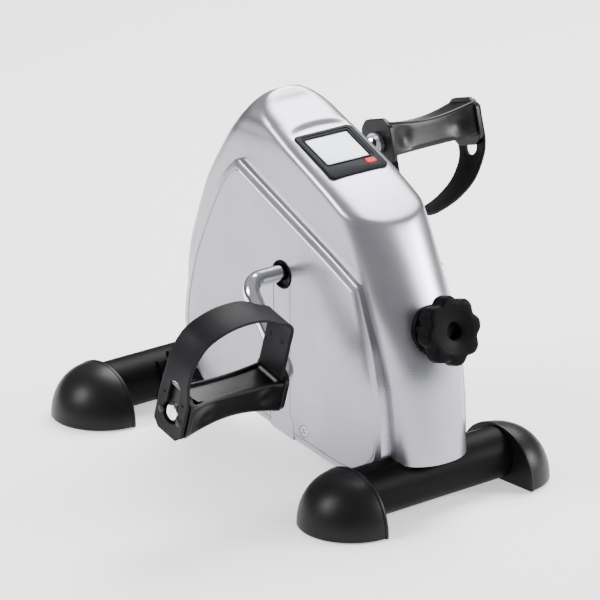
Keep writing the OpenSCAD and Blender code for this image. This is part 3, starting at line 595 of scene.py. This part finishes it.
# %% [markdown]
# The spindle ends in a bright slotted nut, domed a little, set in the strap's keyhole.

# %% Spindle nuts
for side in ("left", "right"):
    dome = [(196.4, 5.8), (196.6, 6.5), (198.2, 6.5), (198.8, 6.1), (199.2, 5.0), (199.35, 3.0),
            (199.4, 0.4)]
    nut = piece(f"{side}_slotted_nut", *closed_grid(on_pedal(side, spun(dome, 48))), "crank",
                "nut_steel", [f"{side}_spindle_nut"])
    box = extruded([(-0.9, -9), (0.9, -9), (0.9, 9), (-0.9, 9)], 198.6, 203)
    carve(nut, on_pedal(side, box[0]), box[1])
    nut.data.shade_smooth()
    nut.data.set_sharp_from_angle(angle=math.radians(35))

# %% [markdown]
# The tension knob is a disc with eight soft lobes. Its radius is worked out from the angle, and
# each ring steps in or out from that outline: a hollow in the face, a rounded rim, the lobed wall,
# then a plain neck behind. The collar that it runs against has twelve square notches in its skirt.

# %% Tension knob
KNOB_AT, KNOB_TIP = np.array([0, -189, 149.5]), math.radians(15)


def on_screw(grid):
    """Sets (s, u, v) points on the screw's line: s runs inwards from the knob's face, u is +X and
    v is downwards across the line."""
    g = np.asarray(grid, float)
    s, a, v = g[..., 0], g[..., 1], g[..., 2]
    return np.stack([a, KNOB_AT[1] + s * math.cos(KNOB_TIP) - v * math.sin(KNOB_TIP),
                     KNOB_AT[2] - s * math.sin(KNOB_TIP) - v * math.cos(KNOB_TIP)], -1)


ROUND = 192
turn = np.arange(ROUND) * 2 * np.pi / ROUND
LOBE_PHASE = math.radians(192)
lobes = ((1 + np.cos(8 * turn + LOBE_PHASE)) / 2) ** 1.5
disc = []
# Along the line, rim radius and how much of the lobes' depth shows there
for s, r, depth in ((6.5, 0.01, 0), (6.5, 6.6, 0), (1.4, 7.0, 0), (0.9, 7.4, 0), (0.35, 8.4, 0),
                    (0.3, 16.5, 0), (0.15, 17.2, 0), (0.0, 18.0, 0), (0.0, 23.8, 2.6), (0.25, 25.6, 3.1),
                    (1.1, 26.9, 3.5), (2.3, 27.5, 3.5), (11.3, 27.5, 3.5), (12.9, 26.9, 3.4),
                    (13.8, 25.6, 3.0), (14.0, 23.5, 2.4), (14.0, 15.2, 0), (18.0, 15.0, 0),
                    (18.0, 0.01, 0)):
    rim = r - depth * lobes
    disc.append(np.column_stack([np.full(ROUND, s), rim * np.cos(turn), rim * np.sin(turn)]))
points, faces = closed_grid(on_screw(np.array(disc)))
piece("lobed_knob", points, faces, "knob", "black_plastic", ["tension_knob"], 40)

teeth = 0.5 + 0.5 * np.clip(6 * np.cos(12 * turn), -1, 1)
collar = []
for s, r, cut in ((18.5, 0.01, 0), (18.5, 16.5, 0), (18.5, 17.4, 1.6), (19.2, 18.2, 1.6),
                  (23.4, 18.4, 1.6), (24.2, 19.0, 0), (24.6, 19.9, 0), (26.6, 20.2, 0),
                  (27.0, 19.7, 0), (38.0, 19.7, 0), (38.0, 0.01, 0)):
    rim = r - cut * teeth
    collar.append(np.column_stack([np.full(ROUND, s), rim * np.cos(turn), rim * np.sin(turn)]))
points, faces = closed_grid(on_screw(np.array(collar)))
piece("collar_moulding", points, faces, "base", "black_plastic", ["knob_collar"], 40)

# %% [markdown]
# A foot cap is half a squashed dome with a thin lip where it meets the tube. The dome is a
# superellipse turned about the upright axis, and the lip is a ring that follows the dome's rim.

# %% Foot caps
# Places of the tubes and of the caps' rims, a cap's radius and height, the floor pad under it, and
# the dome's squareness
TUBE_Y, RIM_X, DEPTH, FOOT_H, PAD, SQUARE = 156.0, 75.0, 42.0, 44.0, 1.0, 2.15


def foot_cap():
    """Dome: r cos^k(a) outwards and h sin^k(a) up, k = 2 / SQUARE, for half a turn about the
    upright. Rows rise from the floor to the top, and columns go round by plan angle."""
    plan = np.radians(np.linspace(-90, 90, 61))
    rise = np.radians(np.concatenate([[0, 0, 1.0, 2.5], np.linspace(5, 90, 30)]))
    r = DEPTH * power(np.cos(rise), 2 / SQUARE)
    z = FOOT_H * power(np.sin(rise), 2 / SQUARE)
    r[0], z[0] = DEPTH - 2.5, 0.0
    r[1], z[1] = DEPTH - 0.8, 0.0
    r[-1] = 0.05
    x = 1 + r * np.cos(plan)[:, None]
    y = r * np.sin(plan)[:, None]
    return np.stack([x, y, z + 0 * x], -1)


def rim_section(x, grow):
    """The dome's outline at the tube's side: an arch of half width DEPTH and height FOOT_H, grown."""
    a = np.radians(np.concatenate([[0.0], np.linspace(1.2, 178.8, 60), [180.0]]))
    return np.column_stack([np.full(len(a), x), (DEPTH + grow) * power(np.cos(a), 2 / SQUARE),
                            (FOOT_H + grow * 0.8) * power(np.sin(a), 2 / SQUARE)])


# The lip's rings: distance along the tube and how far each stands out from the dome
LIP = [(-1.0, -0.6), (-1.0, 0.2), (-0.6, 0.55), (1.3, 0.6), (2.1, 0.3), (2.4, -0.4)]
for name, sx, sy in (("front_left", -1, -1), ("front_right", 1, -1), ("rear_left", -1, 1),
                     ("rear_right", 1, 1)):
    dome = foot_cap()
    high, wide = dome.shape[:2]
    skin = [list(f) for f in grid_faces(high, wide, False, False)]
    first = list(range(wide))
    last = [(high - 1) * wide + k for k in first]
    bottom = [row * wide for row in range(high)]
    body = dome.reshape(-1, 3), skin + [first + last[::-1], bottom[::-1]]
    lip = np.array([rim_section(x, grow) for x, grow in LIP])
    parts = [body, closed_grid(lip)]
    points, faces = join([(p * [sx, 1, 1] + [sx * RIM_X, sy * TUBE_Y, PAD], f) for p, f in parts])
    piece(f"{name}_cap", points, faces, "base", "foot_plastic", [f"{name}_foot"], 40)

# %% [markdown]
# The console is a small black case laid on the slope: a rounded oblong with a stepped frame round
# its window. Every ring is a rounded oblong of its own size, centre and height, so the steps are
# rings close together. Under the clear window lies a grey display with faint figures.

# %% Console
# Case and window, width by length, and how far up the slope the window's middle lies
CASE_W, CASE_L, WINDOW_W, WINDOW_L, WINDOW_V = 58.0, 53.0, 42.0, 30.0, 5.0
KEY_AT = (16.5, -17.5)


def oblong(width, length, radius, z, centre=(0, 0), steps=12):
    """A rounded oblong ring of 4 * steps points: quarter circles set on the four corners."""
    quarter = np.radians(np.linspace(0, 90, steps))
    ring = []
    for k, (sx, sy) in enumerate(((1, 1), (-1, 1), (-1, -1), (1, -1))):
        a = quarter + k * np.pi / 2
        ring.append(np.column_stack([sx * (width / 2 - radius) + radius * np.cos(a) + centre[0],
                                     sy * (length / 2 - radius) + radius * np.sin(a) + centre[1],
                                     np.full(steps, z)]))
    return np.vstack(ring)


def on_console(grid):
    """Sets (across, up the slope, outwards) points on the console's sloping face."""
    return turned(grid, math.degrees(TILT)) + CONSOLE_AT


case = [oblong(CASE_W, CASE_L, 4.0, -4.5), oblong(CASE_W, CASE_L, 4.0, -1.0),
        oblong(CASE_W - 0.6, CASE_L - 0.6, 3.8, -0.3), oblong(CASE_W - 1.8, CASE_L - 1.8, 3.2, 0.0)]
seat = (0, WINDOW_V)
for grow, z, radius in ((7.4, 0.0, 3.4), (6.6, -0.7, 3.2), (5.0, -0.75, 2.6), (4.4, -0.1, 2.4),
                        (2.6, -0.1, 1.8), (2.0, -0.6, 1.6), (0.2, -1.3, 0.9), (0.0, -1.9, 0.9),
                        (0.0, -4.4, 0.9)):
    case.append(oblong(WINDOW_W + grow, WINDOW_L + grow, radius, z, seat))
points, faces = closed_grid(on_console(np.array(case)), wrap_rows=True)
case = piece("console_moulding", points, faces, "base", "console_plastic", ["console_case"], 30)
pocket = np.array([oblong(11.0, 7.0, 1.6, z, KEY_AT) for z in (-2.2, 2)])
carve(case, *closed_grid(on_console(pocket)))
case.data.shade_smooth()
case.data.set_sharp_from_angle(angle=math.radians(30))

pane = np.array([oblong(WINDOW_W, WINDOW_L, 0.9, -1.8, seat),
                 oblong(WINDOW_W, WINDOW_L, 0.9, -0.95, seat),
                 oblong(WINDOW_W - 0.5, WINDOW_L - 0.5, 0.7, -0.8, seat)])
points, faces = closed_grid(on_console(pane))
piece("window_pane", points, faces, "base", "clear_plastic", ["console_window"], 30)

key = [oblong(10 - g, 6 - g, max(1.5 - g / 2, 0.3), z, KEY_AT)
       for z, g in ((-4.8, 0), (0.1, 0), (0.5, 0.4), (0.72, 1.2), (0.8, 2.4))]
points, faces = closed_grid(on_console(np.array(key)))
piece("reset_key", points, faces, "button", "red_plastic", ["reset_button"], 50)

tab = np.array([oblong(4.6, 9.0, 1.2, z, (-30.3, -6)) for z in (-5.5, -2.6)])
points, faces = closed_grid(on_console(tab))
bevel(piece("console_clip", points, faces, "base", "silver_plastic", [], 30), 0.4)

# Seven-segment figures, all bars lit, as 88:88: a bar's place across and up, and 1 for an upright
SEGMENTS = [(0, 1, 0), (0, 0, 0), (0, -1, 0), (-1, 0.5, 1), (1, 0.5, 1), (-1, -0.5, 1),
            (1, -0.5, 1)]


def segment(cx, cy, length, thick, upright):
    """One bar as a lozenge 0.06 mm thick: a six-sided outline carried upwards."""
    a, b = length / 2, thick / 2
    plan = np.array([(-a, 0), (-a + b, b), (a - b, b), (a, 0), (a - b, -b), (-a + b, -b)])
    if upright:
        plan = plan[:, ::-1] * [1, -1]
    lean = 0.10 * (plan[:, 1] + cy)
    x, y = plan[:, 0] + cx + lean, plan[:, 1] + cy + WINDOW_V
    return closed_grid(np.stack([np.column_stack([x, y, np.full(6, z)]) for z in (-1.89, -1.83)]))


bars = []
wide, tall = 3.0, 7.0
for x in (-12.5, -4.0, 6.0, 14.5):
    for sx, sy, upright in SEGMENTS:
        length = tall - 0.6 if upright else 2 * wide - 0.6
        bars.append(segment(x + sx * wide, sy * tall, length, 1.3, upright))
for y in (-3.0, 3.0):
    bars.append(segment(1.0, y, 1.6, 1.5, False))
for k in range(9):
    bars.append(segment(-16 + k * 4.0, 11.6, 2.6, 0.9, False))
points, faces = join([(on_console(p), f) for p, f in bars])
piece("display_figures", points, faces, "base", "lcd", [], 30)

# %% [markdown]
# Every finish starts from what the real surface is and how it was made. One small function adds a
# node with its settings and links. One recipe makes the moulded and painted finishes: a slow
# drift of colour over a few centimetres, a fine grain whose size is given in millimetres, a
# roughness that follows both, and a shallow bump from the grain.

# %% Finishes
METRE = 1000.0


def linear(code):
    """An sRGB hex colour as linear light: ((c + 0.055) / 1.055) ^ 2.4, and c / 12.92 near black."""
    c = np.array([int(code[k:k + 2], 16) for k in (1, 3, 5)]) / 255
    return (*np.where(c <= 0.04045, c / 12.92, ((c + 0.055) / 1.055) ** 2.4).tolist(), 1.0)


def add(tree, kind, inputs=None, **settings):
    """Adds a node: settings are its properties, and inputs are values or the sockets linked in."""
    node = tree.nodes.new(kind)
    for key, value in settings.items():
        setattr(node, key, value)
    for key, value in (inputs or {}).items():
        if isinstance(value, bpy.types.NodeSocket):
            tree.links.new(value, node.inputs[key])
        else:
            node.inputs[key].default_value = value
    return node


def blank(name):
    """A new material with an empty node tree, its output and its shader."""
    made = bpy.data.materials.new(name)
    made.use_nodes = True
    made.node_tree.nodes.clear()
    shader = add(made.node_tree, "ShaderNodeBsdfPrincipled")
    add(made.node_tree, "ShaderNodeOutputMaterial", {"Surface": shader.outputs["BSDF"]})
    return made, made.node_tree, shader


def moulded(name, light, dark, rough, grain_mm, bump_mm, spread=0.06, drift_mm=45.0, **fixed):
    """A moulded, painted or plated finish; fixed values go straight onto the shader's sockets."""
    made, tree, shader = blank(name)
    place = add(tree, "ShaderNodeTexCoord").outputs["Object"]
    drift = add(tree, "ShaderNodeTexNoise", {"Vector": place, "Scale": METRE / drift_mm, "Detail": 3.0,
                                             "Roughness": 0.5}).outputs["Fac"]
    grain = add(tree, "ShaderNodeTexNoise", {"Vector": place, "Scale": METRE / grain_mm, "Detail": 4.0,
                                             "Roughness": 0.6}).outputs["Fac"]
    both = add(tree, "ShaderNodeMix", {"Factor": 0.4, "A": drift, "B": grain}, data_type="FLOAT")
    ramp = add(tree, "ShaderNodeValToRGB", {"Fac": both.outputs["Result"]})
    ramp.color_ramp.elements[0].position, ramp.color_ramp.elements[0].color = 0.32, linear(dark)
    ramp.color_ramp.elements[1].position, ramp.color_ramp.elements[1].color = 0.68, linear(light)
    tree.links.new(ramp.outputs["Color"], shader.inputs["Base Color"])
    level = add(tree, "ShaderNodeMapRange", {"Value": both.outputs["Result"], "From Min": 0.3,
                                             "From Max": 0.7, "To Min": rough - spread,
                                             "To Max": rough + spread})
    tree.links.new(level.outputs["Result"], shader.inputs["Roughness"])
    relief = add(tree, "ShaderNodeBump", {"Height": grain, "Strength": 1.0, "Distance": bump_mm * MM})
    tree.links.new(relief.outputs["Normal"], shader.inputs["Normal"])
    for key, value in fixed.items():
        shader.inputs[key.replace("_", " ")].default_value = value
    return made


# Satin silver ABS: the pigment flakes make a fine sparkle, and the clear top layer a soft sheen
silver_abs = moulded("silver_flake_abs", "#A6A6AD", "#95959D", 0.30, 0.9, 0.005, 0.04, Metallic=0.85,
                     Coat_Weight=0.25, Coat_Roughness=0.28)
# Black polypropylene from an etched mould: a leathery grain about a millimetre across. The black
# plastics keep a low specular level, so that they stay as dark as carbon black makes them
foot_pp = moulded("etched_black_polypropylene", "#111112", "#0A0A0B", 0.40, 1.1, 0.03,
                  Specular_IOR_Level=0.2)
# Powder coat on steel tube: slight orange peel, semi gloss
powder_coat = moulded("black_powder_coat", "#0B0B0C", "#070708", 0.48, 2.2, 0.03,
                      Specular_IOR_Level=0.06)
# Glass-filled nylon: nearly smooth, the fibres cloud the gloss a little
nylon = moulded("black_glass_filled_nylon", "#0D0D0E", "#08080A", 0.42, 0.8, 0.02,
                Specular_IOR_Level=0.04)
# Pedal polypropylene: smoother mould, so a brighter sheen on its edges
pedal_pp = moulded("satin_black_polypropylene", "#0C0C0D", "#080809", 0.32, 1.4, 0.02,
                   Specular_IOR_Level=0.2)
# Soft PVC strap: dark grey, dull, with the faint dust bloom of plasticised PVC
strap_pvc = moulded("soft_grey_pvc", "#19181B", "#131215", 0.55, 1.0, 0.02, Specular_IOR_Level=0.1)
# Console ABS: spark-etched, so evenly dull
console_abs = moulded("spark_etched_black_abs", "#1E1F23", "#15161A", 0.46, 0.5, 0.012,
                      Specular_IOR_Level=0.06)
# Bright chrome: a metal that mirrors the room, with the faintest waviness from polishing
chrome = moulded("bright_chrome_plate", "#E9E9EC", "#DCDCE0", 0.10, 6.0, 0.01, 0.03, Metallic=1.0)
# Bright nickel on the spindle nuts: a little softer than chrome, and warmer
nut_plate = moulded("bright_nickel_plate", "#EFEFEF", "#E2E2E2", 0.18, 3.0, 0.01, 0.04, Metallic=1.0)
# Zinc plate: greyer than chrome, crystals a few millimetres across
zinc = moulded("bright_zinc_plate", "#B9BCC0", "#A2A5AA", 0.34, 3.0, 0.01, 0.08, Metallic=1.0)
# Turned iron rim of the drum: fine tool marks scatter the light
iron = moulded("turned_grey_iron", "#8B8B8E", "#6F6F73", 0.45, 0.8, 0.02, 0.08, Metallic=1.0)
# Nickel plate straight on a pressed magnet: satin, because the grains below show through
magnet = moulded("nickel_plated_magnet", "#C4C4C8", "#B0B0B5", 0.28, 2.0, 0.01, Metallic=1.0)
# Drawn stainless can of the button cell: a soft even sheen
cell = moulded("stainless_cell_can", "#CFCFD2", "#BBBBC0", 0.30, 2.0, 0.01, Metallic=1.0)
# Acetal of the bushes: milky, waxy and nearly smooth from the mould
acetal = moulded("natural_acetal", "#DEDACD", "#CFCBBD", 0.38, 1.5, 0.01)
# Friction webbing: woven brown fibre, rough and without any gloss
webbing = moulded("woven_friction_webbing", "#665040", "#47382D", 0.85, 1.6, 0.25)
# Moulded rubber floor pads: matt, with the mould's sandblast on them
rubber = moulded("moulded_rubber", "#2B2B2C", "#1E1E1F", 0.75, 0.9, 0.04)
# Silicone key: a clear red under a soft, slightly dusty skin
red_key = moulded("red_silicone_key", "#D6202F", "#C21826", 0.45, 0.8, 0.01, Specular_IOR_Level=0.15)
# Extruded PVC round the sensor's lead: smooth along its length, half gloss
lead = moulded("black_pvc_lead", "#1D1D1E", "#141415", 0.50, 1.0, 0.01)
# Solder resist on the board: green lacquer, so a coat over a dull laminate
board = moulded("green_solder_resist", "#2F6E40", "#245834", 0.35, 1.5, 0.02, Coat_Weight=0.3)
# Reflector behind the display's glass: flat grey, even and without relief
glass_back = moulded("reflective_display", "#8E9498", "#83898D", 0.5, 1.2, 0.0,
                     Specular_IOR_Level=0.1)
# The display's figures: the same glass, darkened
figures = moulded("display_ghost_figures", "#4C5257", "#43494E", 0.5, 1.2, 0.0)
# Clear acrylic window: polished. Its IOR is set far below acrylic's 1.49, so that it bends and
# mirrors less and the display under it stays in sight
acrylic = moulded("clear_acrylic", "#F4F7F8", "#EDF1F2", 0.06, 2.0, 0.0, 0.02,
                  Transmission_Weight=1.0, IOR=1.08)

BY_SLOT = {"black_steel": powder_coat, "foot_plastic": foot_pp, "rubber": rubber, "zinc_steel": zinc,
           "acetal": acetal, "brake_webbing": webbing, "silver_plastic": silver_abs, "black_plastic": nylon,
           "console_plastic": console_abs, "clear_plastic": acrylic, "lcd": glass_back,
           "circuit_board": board, "cell_steel": cell, "red_plastic": red_key, "lead_pvc": lead,
           "chrome": chrome, "drum_iron": iron, "magnet": magnet, "nut_steel": nut_plate,
           "pedal_plastic": pedal_pp, "strap_plastic": strap_pvc}
OWN = {"display_figures": figures}
slot_of = {row["node"]: row["material_slot"] for row in frame["record"]["subparts"]}
for obj in bpy.data.objects:
    if obj.type != "MESH":
        continue
    finish = OWN.get(obj.name) or BY_SLOT.get(slot_of.get(obj.name) or obj.get("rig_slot"))
    if finish:
        obj.data.materials.clear()
        obj.data.materials.append(finish)
print("finishes:", len(BY_SLOT) + len(OWN))

# %% [markdown]
# The camera stands well back with a long lens, as for a catalogue, so that parallel edges stay
# nearly parallel. It looks at a point near the middle of the machine, and the lens follows from how
# large a metre is drawn at that distance.

# %% Camera
AZIMUTH, ELEVATION, DISTANCE = math.radians(-40.15), math.radians(19.28), 3.5
PIXELS_PER_METRE = 1260.0
SENSOR_MM, FRAME_PX = 36.0, 600

back = Vector((math.sin(AZIMUTH) * math.cos(ELEVATION), -math.cos(AZIMUTH) * math.cos(ELEVATION),
               math.sin(ELEVATION)))
right = Vector((math.cos(AZIMUTH), math.sin(AZIMUTH), 0))
MIDDLE = (0, 0, 0.150)
SHIFT_RIGHT, SHIFT_UP = 0.0034, 0.0247
aim = Vector(MIDDLE) + right * SHIFT_RIGHT - back.cross(right) * SHIFT_UP
cam_data = bpy.data.cameras.new("camera")
cam_data.sensor_width = SENSOR_MM
cam_data.lens = SENSOR_MM * PIXELS_PER_METRE * DISTANCE / FRAME_PX
camera = bpy.data.objects.new("camera", cam_data)
bpy.context.scene.collection.objects.link(camera)
camera.location = aim + back * DISTANCE
camera.rotation_mode = "QUATERNION"
camera.rotation_quaternion = (-back).to_track_quat("-Z", "Y")
cam_data.clip_end = 50
bpy.context.scene.camera = camera
print("lens", round(cam_data.lens, 1), "mm")

# %% [markdown]
# A plain pale floor and three large soft lamps. The key stands high on the left, a little behind,
# the fill in front on the right, and a wide one overhead, behind on the right, brings up the
# covers' rounded shoulders. The floor glows faintly, which keeps its shadows light, and the room is
# dark at the horizon and paler above, so that the black plastics stay black.

# %% Floor and lamps
REACH = 6
mesh = bpy.data.meshes.new("floor")
mesh.from_pydata([(-REACH, -REACH, 0), (REACH, -REACH, 0), (REACH, REACH, 0), (-REACH, REACH, 0)],
                 [], [(0, 1, 2, 3)])
floor = bpy.data.objects.new("floor", mesh)
bpy.context.scene.collection.objects.link(floor)
# Rolled white paper: matt, with the cloudiness of its fibres a few centimetres across
paper, tree, shader = blank("white_paper_floor")
place = add(tree, "ShaderNodeTexCoord").outputs["Object"]
fibre = add(tree, "ShaderNodeTexNoise", {"Vector": place, "Scale": 60.0, "Detail": 3.0})
ramp = add(tree, "ShaderNodeValToRGB", {"Fac": fibre.outputs["Fac"]})
for stop, code in zip(ramp.color_ramp.elements, ("#F9F9F9", "#FEFEFE")):
    stop.color = linear(code)
tree.links.new(ramp.outputs["Color"], shader.inputs["Base Color"])
shader.inputs["Roughness"].default_value = 0.9
shader.inputs["Emission Color"].default_value = (1, 1, 1, 1)
shader.inputs["Emission Strength"].default_value = 0.7
mesh.materials.append(paper)


def lamp(name, place, target, size, watts):
    """A square soft lamp at a place, turned towards its target."""
    data = bpy.data.lights.new(name, "AREA")
    data.shape, data.size, data.energy = "SQUARE", size, watts
    obj = bpy.data.objects.new(name, data)
    bpy.context.scene.collection.objects.link(obj)
    obj.location = place
    obj.rotation_mode = "QUATERNION"
    obj.rotation_quaternion = (Vector(target) - Vector(place)).to_track_quat("-Z", "Y")
    return obj


lamp("key", (-1.8, 0.55, 1.5), MIDDLE, 0.9, 60)
lamp("fill", (1.75, -1.45, 0.85), MIDDLE, 0.7, 55)
lamp("overhead", (1.2, 0.6, 2.1), MIDDLE, 1.5, 105)
world = bpy.data.worlds.new("white_room")
bpy.context.scene.world = world
world.use_nodes = True
room = world.node_tree.nodes["Background"]
look = add(world.node_tree, "ShaderNodeTexCoord").outputs["Generated"]
height = add(world.node_tree, "ShaderNodeSeparateXYZ", {"Vector": look}).outputs["Z"]
walls = add(world.node_tree, "ShaderNodeValToRGB", {"Fac": height})
# Height on the unit sphere with the grey there, a touch bluer than neutral
for k, (at, grey) in enumerate(((0.0, 0.03), (0.13, 0.08), (0.5, 0.45))):
    stop = walls.color_ramp.elements[k] if k < 2 else walls.color_ramp.elements.new(at)
    stop.position, stop.color = at, (grey, grey, grey * 1.01, 1)
world.node_tree.links.new(walls.outputs["Color"], room.inputs["Color"])
room.inputs["Strength"].default_value = 1.0
